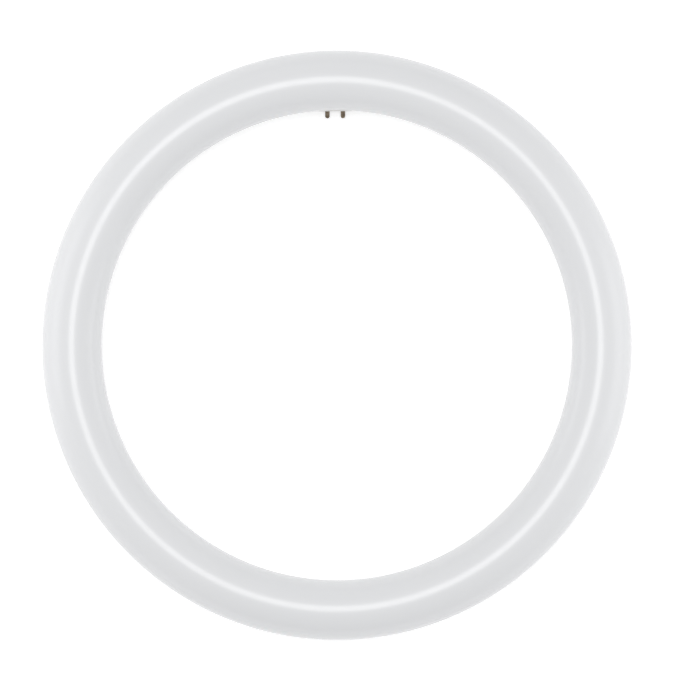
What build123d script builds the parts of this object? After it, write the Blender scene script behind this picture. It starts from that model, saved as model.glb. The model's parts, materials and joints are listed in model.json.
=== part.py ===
from build123d import *

# A ring-shaped LED lamp tube with a four-pin plug base, lying flat with its lit side up.
#
# The tube is two moulded half shells that meet just behind the widest part of the
# section: a milky diffuser on the front and an opaque rear housing, joined by a tongue
# in a rebate. Four identical curved boards with a row of LED packages lie on the
# housing's pads, held by moulded hooks at their ends and one screw in the middle. The
# driver board lies behind them on low ribs, beside the base. The base is a snap-in
# block whose four brass pins point backwards and towards the ring's centre.
#
# Lengths are in millimetres. The ring's axis is Z, the front faces +Z, the base is on
# the +Y side, and Z is 0 at the lowest point, which is the tip of the rear pins.

from math import cos, degrees, radians, sin, sqrt
import os

# Ring and tube section
ring_outer_diameter = 300.0
tube_diameter = 30.5
shell_wall = 1.6
seam_drop = 1.0

# Joint between the two shells
tongue_thickness = 0.7
tongue_height = 1.8
tongue_side_clearance = 0.05
tongue_end_clearance = 0.15

# The housing's inside is flat-sided, so that ribs and pads stand square on it: these
# are the corners' angles below the tube's middle
upper_corner_angle = 35.0
floor_corner_angle = 62.0

# Light boards and their LED packages
board_count = 4
board_joint_gap = 0.8
board_side_gap = 1.5
board_thickness = 1.0
board_top_drop = 1.0
notch_near_edge = 2.6
notch_width = 4.4
notch_half_length = 1.6
chips_per_board = 24
chip_length = 3.5
chip_width = 2.8
chip_height = 0.7

# Pads and hooks that carry the boards' ends, and the fins under their middles
joint_pad_length = 8.0
joint_pad_reach = 7.5
fin_thickness = 1.6
hook_stem_thickness = 1.0
hook_nose = 0.7
hook_nose_height = 0.8
hook_clearance = 0.15

# Screws that hold the light boards
screw_edge_distance = 2.4
screw_shank_diameter = 2.2
screw_length = 6.0
screw_head_diameter = 3.8
screw_head_height = 1.3
screw_hole_clearance = 0.15
pilot_hole_clearance = 0.05
pilot_hole_spare_depth = 0.6
boss_wall = 1.0

# Base seat in the rear housing
base_tilt = 45.0
face_stand = 0.85
plate_length = 18.7
plate_width = 12.6
plate_thickness = 2.3
plate_corner_radius = 1.5
plate_edge_chamfer = 0.5
plate_side_clearance = 0.1
pad_margin = 3.5
pad_thickness = 2.0
neck_half_length = 5.9
neck_width = 9.8
neck_inner_stand = 0.8
window_clearance = 0.1
latch_gap = 1.1
latch_thickness = 1.0
latch_width = 6.0
latch_tip_stand = 1.2
barb_overhang = 0.7
barb_clearance = 0.1

# Contact pins, on the standard four-pin pattern
pin_diameter = 2.4
pin_length = 7.0
pin_pitch_along = 7.92
pin_pitch_across = 6.35
pin_root_diameter = 1.8
pin_root_clearance = 0.02
pin_collar_diameter = 3.4
pin_collar_height = 0.6

# Driver board, given by its angles from the base around the ring
driver_start_angle = 8.0
driver_end_angle = 42.0
driver_stand = 0.85
driver_side_gap = 0.4
driver_thickness = 1.2
component_clearance = 1.0
cradle_thickness = 1.6
cradle_end_inset = 2.0

# Insulated leads and the straps between the light boards
lead_diameter = 1.3
lead_gap = 0.4
lead_landing = 1.8
strap_offsets = (-8.0, -5.0)
strap_width = 1.8
strap_thickness = 0.3
strap_half_span = 3.5
strap_rise = 0.6

# How deep a rib, boss or pad is sunk into the wall that it grows from
root_depth = 0.4

tube_radius = tube_diameter / 2
cavity_radius = tube_radius - shell_wall
centreline_radius = ring_outer_diameter / 2 - tube_radius
board_span = 360.0 / board_count
base_angle = 90.0
tilt_cos = cos(radians(base_tilt))
tilt_sin = sin(radians(base_tilt))

face_reach = tube_radius + face_stand
plate_seat = face_reach - plate_thickness
pad_reach = plate_seat - pad_thickness
neck_reach = pad_reach - neck_inner_stand
collar_reach = neck_reach - pin_collar_height
pin_radius = pin_diameter / 2
pin_tip_reach = face_reach + pin_length
tip_centre_reach = pin_tip_reach - pin_radius
pins_drop = tip_centre_reach * tilt_sin + pin_pitch_across / 2 * tilt_cos + pin_radius
tube_centre_height = max(pins_drop, tube_radius)


def chord(radius, height):
    """Half the width of a circle at a height from its centre."""
    return sqrt(radius**2 - height**2)


board_underside_drop = board_top_drop + board_thickness
board_half_width = chord(cavity_radius, board_underside_drop) - board_side_gap
screw_offset = board_half_width - screw_edge_distance
boss_diameter = screw_shank_diameter + 2 * boss_wall
tongue_drop = seam_drop + tongue_height
tongue_outer = chord(cavity_radius, seam_drop) + tongue_thickness
tongue_inner = chord(cavity_radius, tongue_drop)
rebate_wall = tongue_outer + tongue_side_clearance
rebate_near = tongue_inner - tongue_side_clearance
rebate_drop = tongue_drop + tongue_end_clearance
floor_drop = cavity_radius * sin(radians(floor_corner_angle))
floor_half_width = cavity_radius * cos(radians(floor_corner_angle))
slope_drop = cavity_radius * sin(radians(upper_corner_angle))
slope_half_width = cavity_radius * cos(radians(upper_corner_angle))
slope_run = (slope_half_width - floor_half_width) / (floor_drop - slope_drop)
driver_underside_drop = floor_drop - driver_stand
driver_top_drop = driver_underside_drop - driver_thickness
driver_half_width = floor_half_width + driver_stand * slope_run - driver_side_gap
component_height = driver_top_drop - board_underside_drop - component_clearance
lead_radius = lead_diameter / 2


def section(offset, height):
    """A point of the tube's section, from the tube's own centre."""
    return (centreline_radius + offset, tube_centre_height + height)


def around(azimuth, offset=0.0, height=0.0):
    """A place on the tube: local X points outwards and local Y along the tube."""
    return Rot(0, 0, azimuth) * Pos(
        centreline_radius + offset, 0, tube_centre_height + height
    )


def tube_point(from_base, offset, height):
    """A point inside the tube, by its angle from the base towards +X."""
    radius = centreline_radius + offset
    turn = radians(base_angle - from_base)
    return Vector(radius * cos(turn), radius * sin(turn), tube_centre_height + height)


def turned(edges, start=0.0, sweep_angle=360.0):
    """A closed outline of the tube's section, turned about the ring's axis."""
    profile = make_face(Plane.XZ * Curve(edges))
    return Rot(0, 0, start) * revolve(profile, Axis.Z, sweep_angle)


def ring_band(inner_offset, outer_offset, low, high, start=0.0, sweep_angle=360.0):
    """A rectangle of the tube's section, turned about the ring's axis."""
    corners = [
        section(inner_offset, low),
        section(outer_offset, low),
        section(outer_offset, high),
        section(inner_offset, high),
    ]
    return turned([Polyline(*corners, close=True)], start, sweep_angle)


def section_arc(radius, end_drop, side):
    """An arc of the section over the front (1) or round the back (-1)."""
    half_width = chord(radius, end_drop)
    return ThreePointArc(
        section(-half_width, -end_drop),
        section(0, side * radius),
        section(half_width, -end_drop),
    )


def wire(points, profile):
    """A lead along straight runs, with mitred corners."""
    path = Polyline(*points)
    return sweep(Plane(path ^ 0) * profile, path, transition=Transition.RIGHT)


# Diffuser
def make_diffuser():
    """The front half shell, with a tongue that drops inside the housing's rim."""
    outer_edge = chord(tube_radius, seam_drop)
    edges = [
        section_arc(tube_radius, seam_drop, 1),
        section_arc(cavity_radius, tongue_drop, 1),
    ]
    for side in (-1, 1):
        edges.append(
            Polyline(
                section(side * outer_edge, -seam_drop),
                section(side * tongue_outer, -seam_drop),
                section(side * tongue_outer, -tongue_drop),
                section(side * tongue_inner, -tongue_drop),
            )
        )
    return turned(edges)


# Rear housing
def housing_inside(growth=0.0):
    """The flat-sided space inside the housing, as deep as the tube's middle."""
    radius = cavity_radius + growth
    upper = radians(upper_corner_angle)
    lower = radians(floor_corner_angle)
    corners = [
        (chord(radius, rebate_drop), 0),
        (chord(radius, rebate_drop), -rebate_drop),
        (radius * cos(upper), -radius * sin(upper)),
        (radius * cos(lower), -radius * sin(lower)),
    ]
    left = [section(-offset, height) for offset, height in reversed(corners)]
    right = [section(offset, height) for offset, height in corners]
    return turned([Polyline(*right, *left, close=True)])


def joint_azimuths():
    """The azimuth of each joint between two light boards."""
    return [base_angle + (number + 0.5) * board_span for number in range(board_count)]


def board_azimuths():
    """The middle of each board, in the order in which the current passes them."""
    return [base_angle - (number + 1) * board_span for number in range(board_count)]


def make_joint_pads():
    """Pads under the joints between boards, each with a hook over the boards' edge."""
    pad_height = tube_radius - board_underside_drop
    stem_near = board_half_width + hook_clearance
    nose_low = -board_top_drop + hook_clearance
    nose_high = nose_low + hook_nose_height
    hook = Polyline(
        (stem_near, -board_underside_drop - root_depth),
        (stem_near + hook_stem_thickness, -board_underside_drop - root_depth),
        (stem_near + hook_stem_thickness, nose_high),
        (stem_near, nose_high),
        (stem_near - hook_nose, nose_low),
        (stem_near, nose_low),
        close=True,
    )
    hook = extrude(Plane.XZ * make_face(hook), joint_pad_length / 2, both=True)
    foot = Box(
        tube_radius - joint_pad_reach,
        joint_pad_length,
        pad_height,
        align=(Align.MIN, Align.CENTER, Align.MAX),
    )
    pad = hook + Pos(joint_pad_reach, 0, -board_underside_drop) * foot
    pads = pad + Rot(0, 0, 180) * pad
    return [around(azimuth) * pads for azimuth in joint_azimuths()]


def make_fins():
    """One fin under the inner edge of each board's middle, except at the base."""
    fin = Box(
        tube_radius - joint_pad_reach,
        fin_thickness,
        tube_radius - board_underside_drop,
        align=(Align.MAX, Align.CENTER, Align.MAX),
    )
    return [
        around(azimuth, -joint_pad_reach, -board_underside_drop) * fin
        for azimuth in board_azimuths()[:-1]
    ]


def make_bosses():
    """Round posts for the board screws, before their pilot holes."""
    post = Cylinder(
        boss_diameter / 2,
        tube_radius - board_underside_drop,
        align=(Align.CENTER, Align.CENTER, Align.MAX),
    )
    return [
        around(azimuth, screw_offset, -board_underside_drop) * post
        for azimuth in board_azimuths()
    ]


def make_cradles():
    """Low ribs under the driver board."""
    rib = Box(
        2 * floor_half_width,
        cradle_thickness,
        driver_stand + root_depth,
        align=(Align.CENTER, Align.CENTER, Align.MAX),
    )
    first = driver_start_angle + cradle_end_inset
    last = driver_end_angle - cradle_end_inset
    return [
        around(base_angle - angle, 0, -driver_underside_drop) * rib
        for angle in (first, (first + last) / 2, last)
    ]


base_plane = Plane(
    origin=(0, centreline_radius, tube_centre_height),
    x_dir=(1, 0, 0),
    z_dir=(0, -tilt_cos, -tilt_sin),
)


def base_block(length, width, near, far, corner_radius=0.0):
    """A block of the base's own frame, between two distances from the tube's centre."""
    outline = Rectangle(length, width)
    if corner_radius:
        outline = RectangleRounded(length, width, corner_radius)
    return base_plane * Pos(0, 0, near) * extrude(outline, far - near)


def make_rear_housing():
    """The rear half shell with its pads, hooks, boss posts, ribs and base seat."""
    inside = housing_inside()
    rooted = housing_inside(root_depth)
    outer_edge = chord(tube_radius, seam_drop)
    rim = Line(section(-outer_edge, -seam_drop), section(outer_edge, -seam_drop))
    body = turned([section_arc(tube_radius, seam_drop, -1), rim])
    housing = body - inside

    posts = Part() + make_bosses() + make_fins() + make_cradles() + make_joint_pads()
    housing += posts & rooted
    margins = 2 * pad_margin
    pad = base_block(
        plate_length + margins, plate_width + margins, pad_reach, tube_radius
    )
    housing += pad & rooted & body
    for near, far in ((-rebate_wall, -rebate_near), (rebate_near, rebate_wall)):
        housing -= ring_band(near, far, -rebate_drop, 0)

    housing -= base_block(
        plate_length + 2 * plate_side_clearance,
        plate_width + 2 * plate_side_clearance,
        plate_seat,
        tube_diameter,
        plate_corner_radius + plate_side_clearance,
    )
    window_length = 2 * (neck_half_length + latch_gap + latch_thickness + window_clearance)
    window_width = neck_width + 2 * window_clearance
    housing -= base_block(window_length, window_width, neck_reach, tube_diameter)

    pilot = Cylinder(
        screw_shank_diameter / 2 + pilot_hole_clearance,
        screw_length - board_thickness + pilot_hole_spare_depth,
        align=(Align.CENTER, Align.CENTER, Align.MAX),
    )
    for azimuth in board_azimuths():
        housing -= around(azimuth, screw_offset, -board_underside_drop) * pilot
    return housing


# Light boards
def make_light_board(middle):
    """A curved board with a screw hole and a half notch for leads at each end."""
    joint = degrees(board_joint_gap / 2 / centreline_radius)
    board = ring_band(
        -board_half_width,
        board_half_width,
        -board_underside_drop,
        -board_top_drop,
        middle - board_span / 2 + joint,
        board_span - 2 * joint,
    )
    level = -board_top_drop - board_thickness / 2
    notch = Box(notch_width, 2 * notch_half_length, 2 * board_thickness)
    notch_middle = notch_near_edge + notch_width / 2
    for side in (-1, 1):
        board -= around(middle + side * board_span / 2, notch_middle, level) * notch
    hole_radius = screw_shank_diameter / 2 + screw_hole_clearance
    hole = Cylinder(hole_radius, 2 * board_thickness)
    return board - around(middle, screw_offset, level) * hole


def make_chips(middle):
    """One row of LED packages along the middle of a board."""
    package = Box(
        chip_width,
        chip_length,
        chip_height,
        align=(Align.CENTER, Align.CENTER, Align.MIN),
    )
    pitch = board_span / chips_per_board
    first = middle - board_span / 2 + pitch / 2
    return Compound(
        children=[
            around(first + number * pitch, 0, -board_top_drop) * package
            for number in range(chips_per_board)
        ]
    )


def make_screws():
    """Screws through the boards into the posts."""
    head = Cylinder(
        screw_head_diameter / 2,
        screw_head_height,
        align=(Align.CENTER, Align.CENTER, Align.MIN),
    )
    shank = Cylinder(
        screw_shank_diameter / 2,
        screw_length,
        align=(Align.CENTER, Align.CENTER, Align.MAX),
    )
    screw = head + shank
    return Compound(
        children=[
            around(azimuth, screw_offset, -board_top_drop) * screw
            for azimuth in board_azimuths()
        ]
    )


def make_straps():
    """Raised copper straps that carry the current over all joints but the fed one."""
    foot = strap_half_span - strap_rise
    bridge = strap_half_span / 2
    top = strap_rise + strap_thickness
    outline = Polyline(
        (-strap_half_span, 0),
        (-foot, 0),
        (-bridge, strap_rise),
        (bridge, strap_rise),
        (foot, 0),
        (strap_half_span, 0),
        (strap_half_span, strap_thickness),
        (foot, strap_thickness),
        (bridge, top),
        (-bridge, top),
        (-foot, strap_thickness),
        (-strap_half_span, strap_thickness),
        close=True,
    )
    strap = extrude(Plane.YZ * make_face(outline), strap_width / 2, both=True)
    joints = [middle - board_span / 2 for middle in board_azimuths()[:-1]]
    return Compound(
        children=[
            around(joint, offset, -board_top_drop) * strap
            for joint in joints
            for offset in strap_offsets
        ]
    )


# Base
def pin_places():
    """The four pins in the base's own frame, the pair nearest the front first."""
    along = pin_pitch_along / 2
    across = pin_pitch_across / 2
    return [(along, across), (-along, across), (along, -across), (-along, -across)]


def make_base_body():
    """The snap-in block: a face plate, a neck through the window and two latches."""
    plate = extrude(
        RectangleRounded(plate_length, plate_width, plate_corner_radius),
        plate_thickness,
    )
    plate = chamfer(plate.faces().sort_by(Axis.Z)[-1].edges(), plate_edge_chamfer)
    neck = Rectangle(2 * neck_half_length, neck_width)
    body = Pos(0, 0, plate_seat) * plate
    body += Pos(0, 0, neck_reach) * extrude(neck, plate_seat - neck_reach)

    latch_near = neck_half_length + latch_gap
    latch_far = latch_near + latch_thickness
    catch = pad_reach - barb_clearance
    tip = pad_reach - latch_tip_stand
    latch = Polyline(
        (latch_near, plate_seat),
        (latch_near, tip),
        (latch_far, tip),
        (latch_far + barb_overhang, catch),
        (latch_far, catch),
        (latch_far, plate_seat),
        close=True,
    )
    latch = extrude(Plane.XZ * make_face(latch), latch_width / 2, both=True)
    body += latch + Rot(0, 0, 180) * latch

    hole = Cylinder(
        pin_root_diameter / 2 + pin_root_clearance,
        tube_diameter,
        align=(Align.CENTER, Align.CENTER, Align.MIN),
    )
    for x, y in pin_places():
        body -= Pos(x, y, 0) * hole
    return base_plane * body


def make_pin(place):
    """A turned brass pin: a round tip, a shoulder on the base, and a riveted collar."""
    collar_radius = pin_collar_diameter / 2
    root_radius = pin_root_diameter / 2
    shaft = Polyline(
        (0, pin_tip_reach),
        (0, collar_reach),
        (collar_radius, collar_reach),
        (collar_radius, neck_reach),
        (root_radius, neck_reach),
        (root_radius, face_reach),
        (pin_radius, face_reach),
        (pin_radius, tip_centre_reach),
    )
    round_tip = CenterArc((0, tip_centre_reach), pin_radius, 0, 90)
    profile = make_face(Plane.XZ * Curve([shaft, round_tip]))
    return base_plane * Pos(*place, 0) * revolve(profile, Axis.Z)


# Driver board and its components
def make_driver_board():
    """The curved driver board."""
    return ring_band(
        -driver_half_width,
        driver_half_width,
        -driver_underside_drop,
        -driver_top_drop,
        base_angle - driver_end_angle,
        driver_end_angle - driver_start_angle,
    )


def on_driver(along, across):
    """A place on the driver board, as shares of its length and of its half width."""
    angle = driver_start_angle + along * (driver_end_angle - driver_start_angle)
    return around(base_angle - angle, across * driver_half_width, -driver_top_drop)


def component_lead(*points, size=0.6):
    """A formed square lead of a component."""
    return wire(points, Rectangle(size, size))


def standing(*size):
    """A box on the board's surface."""
    return Box(*size, align=(Align.CENTER, Align.CENTER, Align.MIN))


def make_axial_resistor(body_radius=1.5, body_length=6.5, lift=0.3, foot_half_span=4.8):
    """A fusible resistor across the board, on two bent leads."""
    level = body_radius + lift
    lead = component_lead((0, 0, level), (foot_half_span, 0, level), (foot_half_span, 0, 0))
    body = Pos(0, 0, level) * Rot(0, 90, 0) * Cylinder(body_radius, body_length)
    return body + lead + Rot(0, 0, 180) * lead


def make_varistor(lift=0.4, disc_thickness=3.2, leg_size=0.6, foot_half_span=2.5):
    """A disc on edge, with two short legs."""
    disc_radius = (component_height - lift) / 2
    stand = disc_radius + lift
    body = Pos(0, 0, stand) * Rot(90, 0, 0) * Cylinder(disc_radius, disc_thickness)
    leg = Pos(foot_half_span, 0, 0) * standing(leg_size, leg_size, stand)
    return body + leg + Rot(0, 0, 180) * leg


def make_film_capacitor(length=10.0, width=4.8):
    """A boxed capacitor that fills the height over the board."""
    return standing(width, length, component_height)


def make_leaded_package(
    length, width, height, lead_pitch, leads_per_side, lead_width=0.5, lead_reach=1.1
):
    """A moulded chip package with flat bent leads on its two long sides."""
    stand_off = 0.15
    thickness = 0.25
    root = 0.3
    shoulder = height / 2
    half = width / 2
    foot = half + lead_reach
    knee = half + lead_reach / 2
    package = Pos(0, 0, stand_off) * standing(width, length, height)
    package = chamfer(package.edges().group_by(Axis.Z)[-1], root)
    outline = Polyline(
        (half - root, shoulder),
        (knee, shoulder),
        (knee, 0),
        (foot, 0),
        (foot, thickness),
        (knee + thickness, thickness),
        (knee + thickness, shoulder + thickness),
        (half - root, shoulder + thickness),
        close=True,
    )
    lead = extrude(Plane.XZ * make_face(outline), lead_width / 2, both=True)
    first = -lead_pitch * (leads_per_side - 1) / 2
    for number in range(leads_per_side):
        place = Pos(0, first + number * lead_pitch, 0)
        package += place * (lead + Rot(0, 0, 180) * lead)
    return package


def make_can_capacitor(
    length=11.0, height_share=0.9, lead_half_pitch=1.25, lead_inset=1.0, lead_reach=1.4
):
    """An electrolytic capacitor on its side, with two bent leads."""
    radius = height_share * component_height / 2
    body = Pos(0, 0, radius) * Rot(90, 0, 0) * Cylinder(radius, length)
    inside = lead_inset - length / 2
    outside = -lead_reach - length / 2
    for x in (-lead_half_pitch, lead_half_pitch):
        body += component_lead((x, inside, radius), (x, outside, radius), (x, outside, 0))
    return body


drum_radius = 3.4
drum_flange = 1.2
drum_height = component_height
drum_post_radius = 1.6
winding_radius = 3.1


def make_inductor_core():
    """A ferrite drum."""
    up = (Align.CENTER, Align.CENTER, Align.MIN)
    flange = Cylinder(drum_radius, drum_flange, align=up)
    post = Cylinder(drum_post_radius, drum_height, align=up)
    return flange + post + Pos(0, 0, drum_height - drum_flange) * flange


def make_inductor_winding():
    """The copper winding that fills the drum between its flanges."""
    height = drum_height - 2 * drum_flange
    up = (Align.CENTER, Align.CENTER, Align.MIN)
    coil = Cylinder(winding_radius, height, align=up)
    coil -= Cylinder(drum_post_radius, height, align=up)
    return Pos(0, 0, drum_flange) * coil


def make_chip_resistors(length=3.2, width=1.6, height=0.6):
    """Small surface-mount parts spread over the driver board."""
    places = ((0.29, 0.52), (0.65, 0.16), (0.73, 0.66), (0.73, -0.72), (0.93, 0.66))
    chip = standing(width, length, height)
    return Compound(children=[on_driver(*place) * chip for place in places])


# Leads
def base_point(pin, reach):
    """A point on a pin's axis, at a distance from the tube's centre."""
    return base_plane.from_local_coords((*pin_places()[pin], reach))


def make_input_lead(pin, first_pad_offset=-5.2, pad_pitch=2.3):
    """A lead from the back of a pin to its pad at the near end of the driver board.

    Of the two far pins, the front one's lead passes between the two rows of pins and
    the rear one's passes over its neighbour's.
    """
    pad_offset = first_pad_offset + pin * pad_pitch
    x, y = pin_places()[pin]
    is_far = x < 0
    is_front = y > 0
    turn_reach = collar_reach - lead_diameter - lead_gap / 2
    if is_far and not is_front:
        turn_reach -= lead_diameter + lead_gap
    rest = -driver_top_drop + lead_radius
    landing_start = driver_start_angle + degrees(lead_gap / centreline_radius)
    landing_end = landing_start + degrees(lead_landing / centreline_radius)
    points = [base_point(pin, collar_reach), base_point(pin, turn_reach)]
    if is_far and is_front:
        points.append(base_plane.from_local_coords((-x, 0, turn_reach)))
    points += [
        tube_point(landing_start, pad_offset, rest),
        tube_point(landing_end, pad_offset, rest),
    ]
    return wire(points, Circle(lead_radius))


def make_output_lead(number):
    """A lead from the far end of the driver board, up through the notch to a board."""
    lead_pitch = notch_width / 2
    offset = notch_near_edge + lead_pitch * (number + 0.5)
    joint = board_span / 2
    rest = -driver_top_drop + lead_radius
    start = driver_end_angle - degrees(lead_landing / centreline_radius)
    pad = joint + degrees((notch_half_length + 2 * lead_diameter) / centreline_radius)
    points = [
        tube_point(start, offset, rest),
        tube_point(joint, offset, rest),
        tube_point(joint, offset, -board_top_drop + 2 * lead_diameter),
        tube_point(pad, offset, -board_top_drop + lead_radius),
    ]
    return wire(points, Circle(lead_radius))


def make_bridge_rectifier():
    """A moulded rectifier with two flat leads a side."""
    return make_leaded_package(
        length=4.7, width=3.9, height=2.3, lead_pitch=2.54, leads_per_side=2, lead_width=0.7
    )


def make_driver_chip():
    """The control chip, with four narrow leads a side."""
    return make_leaded_package(
        length=4.9, width=3.9, height=1.4, lead_pitch=1.27, leads_per_side=4, lead_width=0.42
    )


def make_output_diode():
    """A small diode with one broad, short lead a side."""
    return make_leaded_package(
        length=2.6,
        width=2.4,
        height=1.9,
        lead_pitch=0.0,
        leads_per_side=1,
        lead_width=1.4,
        lead_reach=0.7,
    )


def make_driver_components():
    """The parts on the driver board, by their node names."""
    return {
        "driver_board": make_driver_board(),
        "fuse_resistor": on_driver(0.106, 0) * make_axial_resistor(),
        "varistor": on_driver(0.188, -0.26) * make_varistor(),
        "bridge_rectifier": on_driver(0.269, -0.32) * make_bridge_rectifier(),
        "film_capacitor": on_driver(0.413, 0.52) * make_film_capacitor(),
        "input_capacitor": on_driver(0.413, -0.47) * make_can_capacitor(),
        "inductor_core": on_driver(0.563, 0) * make_inductor_core(),
        "inductor_winding": on_driver(0.563, 0) * make_inductor_winding(),
        "driver_chip": on_driver(0.657, -0.49) * make_driver_chip(),
        "output_diode": on_driver(0.657, 0.63) * make_output_diode(),
        "output_capacitor": on_driver(0.832, -0.22) * make_can_capacitor(),
        "chip_resistors": make_chip_resistors(),
    }


def make_all():
    """Every piece by its node name."""
    pieces = {
        "diffuser": make_diffuser(),
        "rear_housing": make_rear_housing(),
        "board_screws": make_screws(),
        "board_straps": make_straps(),
        "base_body": make_base_body(),
        **make_driver_components(),
    }
    for number, middle in enumerate(board_azimuths(), start=1):
        pieces[f"led_board_{number}"] = make_light_board(middle)
        pieces[f"led_chips_{number}"] = make_chips(middle)
    for number, place in enumerate(pin_places(), start=1):
        pieces[f"pin_{number}"] = make_pin(place)
        pieces[f"input_lead_{number}"] = make_input_lead(number - 1)
    for number, name in enumerate(("positive", "negative")):
        pieces[f"output_lead_{name}"] = make_output_lead(number)
    return pieces


os.makedirs("parts", exist_ok=True)
for node, piece in make_all().items():
    export_step(piece, f"parts/{node}.step")
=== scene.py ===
"""The looks of the ring-shaped lamp tube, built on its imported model."""
import json
from math import hypot, radians

import bmesh
import bpy
from mathutils import Matrix, Vector


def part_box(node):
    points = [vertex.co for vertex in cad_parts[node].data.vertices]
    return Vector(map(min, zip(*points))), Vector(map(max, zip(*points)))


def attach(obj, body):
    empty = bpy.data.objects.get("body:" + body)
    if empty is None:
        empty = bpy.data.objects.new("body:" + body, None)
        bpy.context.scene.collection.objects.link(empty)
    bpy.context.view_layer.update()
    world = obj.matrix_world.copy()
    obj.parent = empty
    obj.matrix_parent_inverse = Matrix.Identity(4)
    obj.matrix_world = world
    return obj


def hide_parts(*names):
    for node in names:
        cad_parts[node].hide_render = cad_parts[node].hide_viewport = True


# An empty scene first, so that the box below holds the model alone
bpy.ops.wm.read_factory_settings(use_empty=True)
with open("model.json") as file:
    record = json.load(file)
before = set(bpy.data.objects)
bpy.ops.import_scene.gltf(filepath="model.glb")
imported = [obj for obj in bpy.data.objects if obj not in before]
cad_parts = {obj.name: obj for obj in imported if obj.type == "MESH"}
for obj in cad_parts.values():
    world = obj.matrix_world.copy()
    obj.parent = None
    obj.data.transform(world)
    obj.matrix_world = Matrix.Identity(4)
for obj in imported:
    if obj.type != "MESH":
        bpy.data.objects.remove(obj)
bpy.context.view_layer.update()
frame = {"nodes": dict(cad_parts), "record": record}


nodes = frame["nodes"]
scene = bpy.context.scene

# The lamp's own sizes, in metres
RING_RADIUS = 0.150
TUBE_RADIUS = 0.01525
CENTRE_RADIUS = RING_RADIUS - TUBE_RADIUS
TUBE_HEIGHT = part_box("diffuser")[1].z - TUBE_RADIUS
SEAM_DROP = 0.001
SEAM_HEIGHT = TUBE_HEIGHT - SEAM_DROP
PIN_RADIUS = 0.0012

# Finish of the surfaces, in metres where it is a length
DIFFUSER_WHITE = (0.78, 0.784, 0.792)
HOUSING_WHITE = (0.74, 0.745, 0.74)
SEAM_SHADOW_REACH = 0.00016
SEAM_SHADOW_TONE = 0.34
TRACK_OFFSET = 0.0062
TRACK_REACH = 0.0016
FINE_RELIEF = 0.00001

# Meshes of the shells: lengths in metres
SAME_PLACE = 0.000004
CHORD_DEPTH = 0.0002
SKIN_GAP = 0.00005
SKIN_RADIUS = TUBE_RADIUS - SKIN_GAP
SKIN_CUTS = 2
SKIN_FACING = 0.9
LIP_EASE = 0.00018
LIP_SEGMENTS = 3
SHARP = radians(40)

# Floor: its reach and its gap under the lamp are in metres
FLOOR_REACH = 12.0
FLOOR_GAP = 0.0001
FLOOR_TONE = 0.80
FLOOR_GLOW = 0.46

# Light: lamps in metres and watts
SKY_WHITE = (0.985, 0.99, 1.0, 1.0)
SKY_LEVEL = 0.632
SIDE_GAIN = 0.36
HIGH_LAMP_WIDTH = 1.3
LOW_LAMP_WIDTH = 0.3
LOW_LAMP_HEIGHT = 0.2
LOW_LAMP_AIM = (0, 0, 0.02)

# Camera: where the ring lies in the photograph, in pixels, and the distance in metres
FRAME_PIXELS = 700
RING_CENTRE_PIXELS = (336.96, 345.25)
RING_RADIUS_PIXELS = 294.8
CAMERA_DISTANCE = 4.0
CAMERA_ROLL = radians(-0.46)
SENSOR_WIDTH = 36.0


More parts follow.
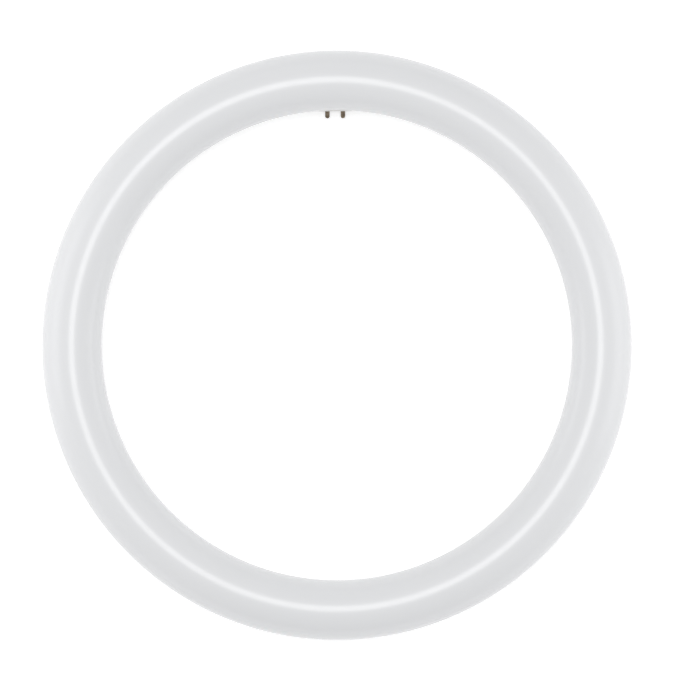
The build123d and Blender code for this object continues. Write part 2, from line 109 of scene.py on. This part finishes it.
# Materials
class Nodes:
    """A material's node tree, with short calls to add nodes and join them."""

    def __init__(self, name):
        self.material = bpy.data.materials.new(name)
        self.material.use_nodes = True
        self.tree = self.material.node_tree
        self.shader = self.tree.nodes["Principled BSDF"]
        self.place = self.add("ShaderNodeTexCoord").outputs["Object"]

    def add(self, kind, **settings):
        """A new node, with its own settings."""
        node = self.tree.nodes.new(kind)
        for key, value in settings.items():
            setattr(node, key, value)
        return node

    def join(self, output, socket):
        """A link between two nodes."""
        self.tree.links.new(output, socket)

    def math(self, operation, *values):
        """The result of an operation on values, which are numbers or outputs."""
        node = self.add("ShaderNodeMath", operation=operation)
        for value, socket in zip(values, node.inputs):
            if isinstance(value, bpy.types.NodeSocket):
                self.join(value, socket)
            else:
                socket.default_value = value
        return node.outputs[0]

    def noise(self, scale, detail=2.0, roughness=0.5, stretch=None):
        """Noise by place, scale in features per metre."""
        node = self.add("ShaderNodeTexNoise")
        node.inputs["Scale"].default_value = scale
        node.inputs["Detail"].default_value = detail
        node.inputs["Roughness"].default_value = roughness
        place = self.place
        if stretch:
            mapping = self.add("ShaderNodeMapping")
            mapping.inputs["Scale"].default_value = stretch
            self.join(place, mapping.inputs["Vector"])
            place = mapping.outputs["Vector"]
        self.join(place, node.inputs["Vector"])
        return node.outputs["Fac"]

    def span(self, value, low, high, near=0.3, far=0.7):
        """A value from low to high, as the input goes from near to far."""
        node = self.add("ShaderNodeMapRange")
        node.inputs["From Min"].default_value = near
        node.inputs["From Max"].default_value = far
        node.inputs["To Min"].default_value = low
        node.inputs["To Max"].default_value = high
        self.join(value, node.inputs["Value"])
        return node.outputs["Result"]

    def blend(self, share, first, second):
        """A colour between two, which are colours or outputs."""
        node = self.add("ShaderNodeMix", data_type="RGBA")
        self.join(share, node.inputs["Factor"])
        for colour, socket in ((first, node.inputs["A"]), (second, node.inputs["B"])):
            if isinstance(colour, bpy.types.NodeSocket):
                self.join(colour, socket)
            else:
                socket.default_value = (*colour, 1.0)
        return node.outputs["Result"]

    def axes(self):
        """The place as X, Y and Z outputs, in metres."""
        node = self.add("ShaderNodeSeparateXYZ")
        self.join(self.place, node.inputs["Vector"])
        return node.outputs

    def near(self, value, middle, reach):
        """1 where the value is at the middle, falling to 0 at a distance of reach."""
        distance = self.math("ABSOLUTE", self.math("SUBTRACT", value, middle))
        return self.span(distance, 1.0, 0.0, 0.0, reach)

    def bump(self, height, distance, strength, under=None):
        """A normal raised by a height, over the normal of another bump if there is one."""
        node = self.add("ShaderNodeBump")
        node.inputs["Distance"].default_value = distance
        node.inputs["Strength"].default_value = strength
        self.join(height, node.inputs["Height"])
        if under:
            self.join(under, node.inputs["Normal"])
        return node.outputs["Normal"]

    def finish(self, colour, roughness, normal, **constants):
        """The material, with its values joined to the shader and its constants set there."""
        self.join(colour, self.shader.inputs["Base Color"])
        self.join(roughness, self.shader.inputs["Roughness"])
        self.join(normal, self.shader.inputs["Normal"])
        for name, value in constants.items():
            self.shader.inputs[name.replace("_", " ")].default_value = value
        return self.material


def shade(colour, factor):
    """A colour made darker or lighter."""
    return tuple(min(1.0, value * factor) for value in colour)


def moulded(name, colour, rough, grain, relief):
    """Moulded plastic: a faint mottle, a fine surface grain and uneven gloss."""
    n = Nodes(name)
    cloud = n.noise(38.0, 3.0)
    speck = n.noise(grain, 3.0, 0.6)
    tone = n.blend(n.span(cloud, 0.0, 1.0), shade(colour, 0.965), shade(colour, 1.02))
    tone = n.blend(n.span(speck, 0.0, 0.35, 0.55, 0.8), tone, shade(colour, 0.9))
    gloss = n.span(n.noise(170.0, 4.0, 0.65), *rough)
    return n.finish(tone, gloss, n.bump(speck, relief, 0.5))


def shell_plastic(name, colour, rough, relief, **constants):
    """A shell's plastic, with the fine shadow line of the joint between the two shells."""
    n = Nodes(name)
    cloud = n.noise(26.0, 3.0, 0.55)
    flow = n.noise(5.0, 4.0, 0.6, stretch=(1.0, 1.0, 9.0))
    grain = n.noise(3200.0, 2.0, 0.6)
    tone = n.blend(n.span(cloud, 0.0, 1.0, 0.2, 0.8), shade(colour, 0.994), shade(colour, 1.004))
    tone = n.blend(n.span(flow, 0.0, 0.4, 0.2, 0.8), tone, shade(colour, 0.99))
    line = n.near(n.axes()["Z"], SEAM_HEIGHT, SEAM_SHADOW_REACH)
    tone = n.blend(line, tone, shade(colour, SEAM_SHADOW_TONE))
    gloss = n.span(n.noise(120.0, 5.0, 0.6), *rough)
    waves = n.bump(n.noise(60.0, 1.0), 0.00006, 0.25)
    return n.finish(tone, gloss, n.bump(grain, relief, 0.35, waves), **constants)


def metal(name, colour, tarnish, rough):
    """Plated or bare metal: fine drawn lines, and duller and darker patches."""
    n = Nodes(name)
    patch = n.noise(520.0, 5.0, 0.65)
    lines = n.noise(900.0, 3.0, 0.6)
    tone = n.blend(n.span(patch, 0.0, 1.0, 0.38, 0.66), colour, tarnish)
    return n.finish(tone, n.span(lines, *rough), n.bump(lines, FINE_RELIEF, 0.4), Metallic=1.0)


def pin_brass():
    """Aged brass: darker and duller patches over fine turned lines."""
    n = Nodes("pin brass")
    patch = n.noise(700.0, 5.0, 0.65)
    lines = n.noise(1500.0, 2.0, 0.6, stretch=(1.0, 0.15, 0.15))
    bright = (0.21, 0.165, 0.115)
    dull = (0.10, 0.075, 0.05)
    tone = n.blend(n.span(patch, 0.0, 1.0, 0.36, 0.68), bright, dull)
    return n.finish(tone, n.span(patch, 0.30, 0.52), n.bump(lines, 0.000012, 0.4), Metallic=0.85)


def light_board():
    """White coated aluminium board, with two copper tracks seen through the coating."""
    n = Nodes("light board coating")
    place = n.axes()
    flat = n.add("ShaderNodeCombineXYZ")
    n.join(place["X"], flat.inputs["X"])
    n.join(place["Y"], flat.inputs["Y"])
    length = n.add("ShaderNodeVectorMath", operation="LENGTH")
    n.join(flat.outputs["Vector"], length.inputs[0])
    radius = length.outputs["Value"]
    cloud = n.span(n.noise(90.0, 3.0), 0.0, 1.0)
    tone = n.blend(cloud, (0.80, 0.81, 0.80), (0.87, 0.87, 0.85))
    for side in (-1, 1):
        track = n.near(radius, CENTRE_RADIUS + side * TRACK_OFFSET, TRACK_REACH)
        tone = n.blend(n.span(track, 0.0, 0.5, 0.1, 0.25), tone, (0.72, 0.70, 0.62))
    speck = n.noise(2400.0, 3.0, 0.6)
    return n.finish(tone, n.span(speck, 0.34, 0.5), n.bump(speck, FINE_RELIEF, 0.5))


def led_package():
    """The yellow gel of an LED package, with a fine grain."""
    n = Nodes("LED package")
    grain = n.noise(5200.0, 3.0, 0.7)
    tone = n.blend(n.span(grain, 0.0, 1.0), (0.86, 0.66, 0.20), (0.93, 0.79, 0.38))
    return n.finish(tone, n.span(grain, 0.25, 0.42), n.bump(grain, FINE_RELIEF, 0.4))


def circuit_board():
    """Green lacquer over glass weave."""
    n = Nodes("driver board lacquer")
    weave = n.noise(1300.0, stretch=(1.0, 0.25, 1.0))
    cross = n.noise(1300.0, stretch=(0.25, 1.0, 1.0))
    tone = n.blend(n.span(weave, 0.0, 0.6), (0.025, 0.15, 0.06), (0.05, 0.24, 0.10))
    tone = n.blend(n.span(cross, 0.0, 0.4), tone, (0.07, 0.30, 0.14))
    return n.finish(tone, n.span(weave, 0.28, 0.42), n.bump(cross, FINE_RELIEF, 0.3))


def winding():
    """Enamelled copper wire, wound in fine turns about an upright post."""
    n = Nodes("enamelled winding")
    wave = n.add("ShaderNodeTexWave", wave_type="BANDS", bands_direction="Z")
    wave.inputs["Scale"].default_value = 620.0
    wave.inputs["Distortion"].default_value = 0.6
    n.join(n.place, wave.inputs["Vector"])
    turns = wave.outputs["Fac"]
    tone = n.blend(turns, (0.30, 0.10, 0.03), (0.72, 0.33, 0.13))
    gloss = n.span(turns, 0.45, 0.25, 0.0, 1.0)
    return n.finish(tone, gloss, n.bump(turns, 0.00012, 1.0), Metallic=0.6)


def lead_cover(name, colour):
    """A lead's insulation."""
    return moulded(name, colour, (0.4, 0.55), 2500.0, FINE_RELIEF)


materials = {
    "diffuser": shell_plastic(
        "milky polycarbonate",
        DIFFUSER_WHITE,
        rough=(0.38, 0.46),
        relief=0.000006,
        Coat_Weight=0.8,
        Coat_Roughness=0.22,
    ),
    "housing": shell_plastic(
        "housing plastic", HOUSING_WHITE, rough=(0.42, 0.56), relief=0.00005
    ),
    "base": moulded("base plastic", (0.76, 0.755, 0.725), (0.40, 0.56), 2200.0, 0.00002),
    "pin_brass": pin_brass(),
    "light_board": light_board(),
    "led_package": led_package(),
    "screw": metal("zinc plate", (0.62, 0.62, 0.64), (0.42, 0.42, 0.43), (0.25, 0.45)),
    "strap": metal("copper strap", (0.75, 0.44, 0.29), (0.52, 0.27, 0.17), (0.26, 0.42)),
    "driver_board": circuit_board(),
    "resistor_body": moulded(
        "resistor coating", (0.20, 0.36, 0.30), (0.35, 0.5), 3000.0, 0.00002
    ),
    "varistor_coat": moulded(
        "varistor coating", (0.04, 0.10, 0.32), (0.30, 0.45), 1500.0, 0.00004
    ),
    "chip_body": moulded("chip epoxy", (0.028, 0.028, 0.03), (0.5, 0.7), 4200.0, 0.00002),
    "film_box": moulded(
        "film capacitor box", (0.50, 0.09, 0.03), (0.25, 0.4), 3000.0, FINE_RELIEF
    ),
    "can_sleeve": moulded(
        "capacitor sleeve", (0.03, 0.032, 0.05), (0.22, 0.36), 2000.0, FINE_RELIEF
    ),
    "ferrite": moulded("ferrite", (0.055, 0.055, 0.06), (0.5, 0.72), 3600.0, 0.00004),
    "copper_winding": winding(),
    "lead_white": lead_cover("white lead", (0.72, 0.72, 0.69)),
    "lead_red": lead_cover("red lead", (0.48, 0.03, 0.02)),
    "lead_black": lead_cover("black lead", (0.022, 0.022, 0.024)),
}
slot_of = {part["node"]: part["material_slot"] for part in frame["record"]["subparts"]}
for name, node in nodes.items():
    for material_slot in node.material_slots:
        material_slot.material = materials[slot_of[name]]


# Shells: the moulded halves again, with a true smooth tube outside and eased lips
def from_tube_line(point):
    """The nearest point of the circle along the tube's middle, and the way from it."""
    flat = hypot(point.x, point.y)
    middle = Vector((point.x, point.y, 0)) * (CENTRE_RADIUS / flat)
    middle.z = TUBE_HEIGHT
    return middle, point - middle


def is_skin(face):
    """Whether a face lies on the outside of the tube, and not only its corners do."""
    for vert in face.verts:
        if abs(from_tube_line(vert.co)[1].length - TUBE_RADIUS) > SAME_PLACE:
            return False
    way = from_tube_line(face.calc_center_median())[1].normalized()
    return abs(face.normal.dot(way)) > SKIN_FACING


def divide_skin(work):
    """Divide the outside faces, and lay the new corners on the tube."""
    skin = {face for face in work.faces if is_skin(face)}
    edges = [edge for edge in work.edges if skin.intersection(edge.link_faces)]
    bmesh.ops.subdivide_edges(work, edges=edges, cuts=SKIN_CUTS, use_grid_fill=True)
    bmesh.ops.triangulate(work, faces=[face for face in work.faces if len(face.verts) > 4])
    for vert in work.verts:
        middle, way = from_tube_line(vert.co)
        if TUBE_RADIUS - CHORD_DEPTH < way.length < TUBE_RADIUS:
            vert.co = middle + way.normalized() * TUBE_RADIUS
    work.normal_update()


def ease_lips(work):
    """Round the edges where the outside ends, at the rim and at the base's seat."""
    skin = {face for face in work.faces if is_skin(face)}
    lips = [
        edge
        for edge in work.edges
        if edge.is_manifold and len(skin.intersection(edge.link_faces)) == 1
    ]
    bmesh.ops.bevel(
        work,
        geom=lips,
        offset=LIP_EASE,
        offset_type="OFFSET",
        segments=LIP_SEGMENTS,
        profile=0.5,
        affect="EDGES",
        clamp_overlap=True,
    )
    work.normal_update()


def lay_tube_normals(mesh, on_tube):
    """Give the outside the tube's own normals, and draw it in by a hair."""
    normals = [corner.vector.copy() for corner in mesh.corner_normals]
    for face, smooth in zip(mesh.polygons, on_tube):
        if smooth:
            for corner, index in zip(face.loop_indices, face.vertices):
                normals[corner] = from_tube_line(mesh.vertices[index].co)[1].normalized()
    for vert in mesh.vertices:
        middle, way = from_tube_line(vert.co)
        if way.length > SKIN_RADIUS:
            vert.co = middle + way * (SKIN_RADIUS / way.length)
    mesh.normals_split_custom_set(normals)


def smooth_shell(node_name, piece_name):
    """A copy of a shell whose outside is divided, laid on the tube and eased at its lips."""
    mesh = nodes[node_name].data.copy()
    mesh.name = piece_name
    work = bmesh.new()
    work.from_mesh(mesh)
    bmesh.ops.remove_doubles(work, verts=work.verts, dist=SAME_PLACE / 2)
    work.normal_update()
    divide_skin(work)
    ease_lips(work)
    for face in work.faces:
        face.smooth = True
    for edge in work.edges:
        edge.smooth = not edge.is_manifold or edge.calc_face_angle() < SHARP
    on_tube = [is_skin(face) for face in work.faces]
    work.to_mesh(mesh)
    work.free()
    mesh.update()
    lay_tube_normals(mesh, on_tube)
    mesh.materials.clear()
    mesh.materials.append(materials[slot_of[node_name]])

    piece = bpy.data.objects.new(piece_name, mesh)
    scene.collection.objects.link(piece)
    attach(piece, "root")
    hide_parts(node_name)


smooth_shell("diffuser", "front_shell")
smooth_shell("rear_housing", "rear_shell")


# Floor
def floor_material():
    """White floor: the camera sees it nearly white, and shadows stay on it."""
    n = Nodes("studio floor")
    n.shader.inputs["Roughness"].default_value = 0.9
    n.shader.inputs["Specular IOR Level"].default_value = 0.1
    cloud = n.span(n.noise(3.0), 0.0, 1.0)
    tone = n.blend(cloud, (FLOOR_TONE,) * 3, (FLOOR_TONE + 0.01,) * 3)
    n.join(tone, n.shader.inputs["Base Color"])
    ray = n.add("ShaderNodeLightPath").outputs
    seen = n.math("MAXIMUM", ray["Is Camera Ray"], ray["Is Glossy Ray"])
    seen = n.math("MAXIMUM", seen, ray["Is Transmission Ray"])
    glow = n.add("ShaderNodeEmission")
    glow.inputs["Color"].default_value = (1, 1, 1, 1)
    n.join(n.math("MULTIPLY", seen, FLOOR_GLOW), glow.inputs["Strength"])
    both = n.add("ShaderNodeAddShader")
    n.join(n.shader.outputs["BSDF"], both.inputs[0])
    n.join(glow.outputs["Emission"], both.inputs[1])
    n.join(both.outputs["Shader"], n.tree.nodes["Material Output"].inputs["Surface"])
    return n.material


def make_floor():
    """A wide floor that touches the rear pins' tips and the tube opposite them."""
    mesh = bpy.data.meshes.new("floor")
    signs = ((-1, -1), (1, -1), (1, 1), (-1, 1))
    corners = [(x * FLOOR_REACH, y * FLOOR_REACH, 0) for x, y in signs]
    mesh.from_pydata(corners, [], [(0, 1, 2, 3)])
    mesh.materials.append(floor_material())
    floor = bpy.data.objects.new("floor", mesh)
    scene.collection.objects.link(floor)
    tube_y = -CENTRE_RADIUS
    tube_z = TUBE_HEIGHT - TUBE_RADIUS
    pin_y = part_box("pin_3")[0].y + PIN_RADIUS
    slope = -tube_z / (pin_y - tube_y)
    floor.rotation_euler.x = slope
    floor.location.z = tube_z - slope * tube_y - FLOOR_GAP


make_floor()


# Light
def studio_sky():
    """Soft light from all round, brighter towards the left and the right."""
    world = bpy.data.worlds.new("studio")
    world.use_nodes = True
    tree = world.node_tree
    place = tree.nodes.new("ShaderNodeTexCoord")
    parts = tree.nodes.new("ShaderNodeSeparateXYZ")
    tree.links.new(place.outputs["Generated"], parts.inputs["Vector"])
    across = tree.nodes.new("ShaderNodeMath")
    across.operation = "MULTIPLY"
    for socket in across.inputs[:2]:
        tree.links.new(parts.outputs["X"], socket)
    level = tree.nodes.new("ShaderNodeMath")
    level.operation = "MULTIPLY_ADD"
    level.inputs[1].default_value = SIDE_GAIN
    level.inputs[2].default_value = SKY_LEVEL
    tree.links.new(across.outputs[0], level.inputs[0])
    sky = tree.nodes["Background"]
    sky.inputs["Color"].default_value = SKY_WHITE
    tree.links.new(level.outputs[0], sky.inputs["Strength"])
    return world


def softbox(name, place, power, width, height=None, aim=(0, 0, 0)):
    """A soft lamp that the camera doesn't see: a disk, or a rectangle if it has a height."""
    light = bpy.data.lights.new(name, "AREA")
    light.shape = "RECTANGLE" if height else "DISK"
    light.size = width
    if height:
        light.size_y = height
    light.energy = power
    lamp = bpy.data.objects.new(name, light)
    lamp.location = place
    lamp.rotation_euler = (Vector(aim) - Vector(place)).to_track_quat("-Z", "Y").to_euler()
    lamp.visible_camera = False
    scene.collection.objects.link(lamp)


def low_softbox(name, place, power):
    """A softbox near the floor, which lights the tube's outer flank."""
    softbox(name, place, power, LOW_LAMP_WIDTH, LOW_LAMP_HEIGHT, LOW_LAMP_AIM)


scene.world = studio_sky()
# The high softbox draws the thin bright line along the tube's crest
softbox("overhead", (-0.18, 0.24, 3.2), 20.0, HIGH_LAMP_WIDTH)
low_softbox("left", (-0.42, 0.06, 0.15), 0.15)
low_softbox("right", (0.42, 0.0, 0.15), 0.13)
low_softbox("far", (-0.03, 0.42, 0.15), 0.04)


# Camera
def make_camera():
    """A camera straight above, with the ring placed as in the photograph."""
    pixels_per_metre = RING_RADIUS_PIXELS / RING_RADIUS
    lens = bpy.data.cameras.new("camera")
    lens.sensor_width = SENSOR_WIDTH
    lens.lens = pixels_per_metre * CAMERA_DISTANCE * SENSOR_WIDTH / FRAME_PIXELS
    camera = bpy.data.objects.new("camera", lens)
    right = (FRAME_PIXELS / 2 - RING_CENTRE_PIXELS[0]) / pixels_per_metre
    up = (RING_CENTRE_PIXELS[1] - FRAME_PIXELS / 2) / pixels_per_metre
    camera.location = Matrix.Rotation(CAMERA_ROLL, 3, "Z") @ Vector((right, up, 0))
    camera.location.z = TUBE_HEIGHT + CAMERA_DISTANCE
    camera.rotation_euler.z = CAMERA_ROLL
    scene.collection.objects.link(camera)
    scene.camera = camera


make_camera()
scene.view_settings.view_transform = "Standard"
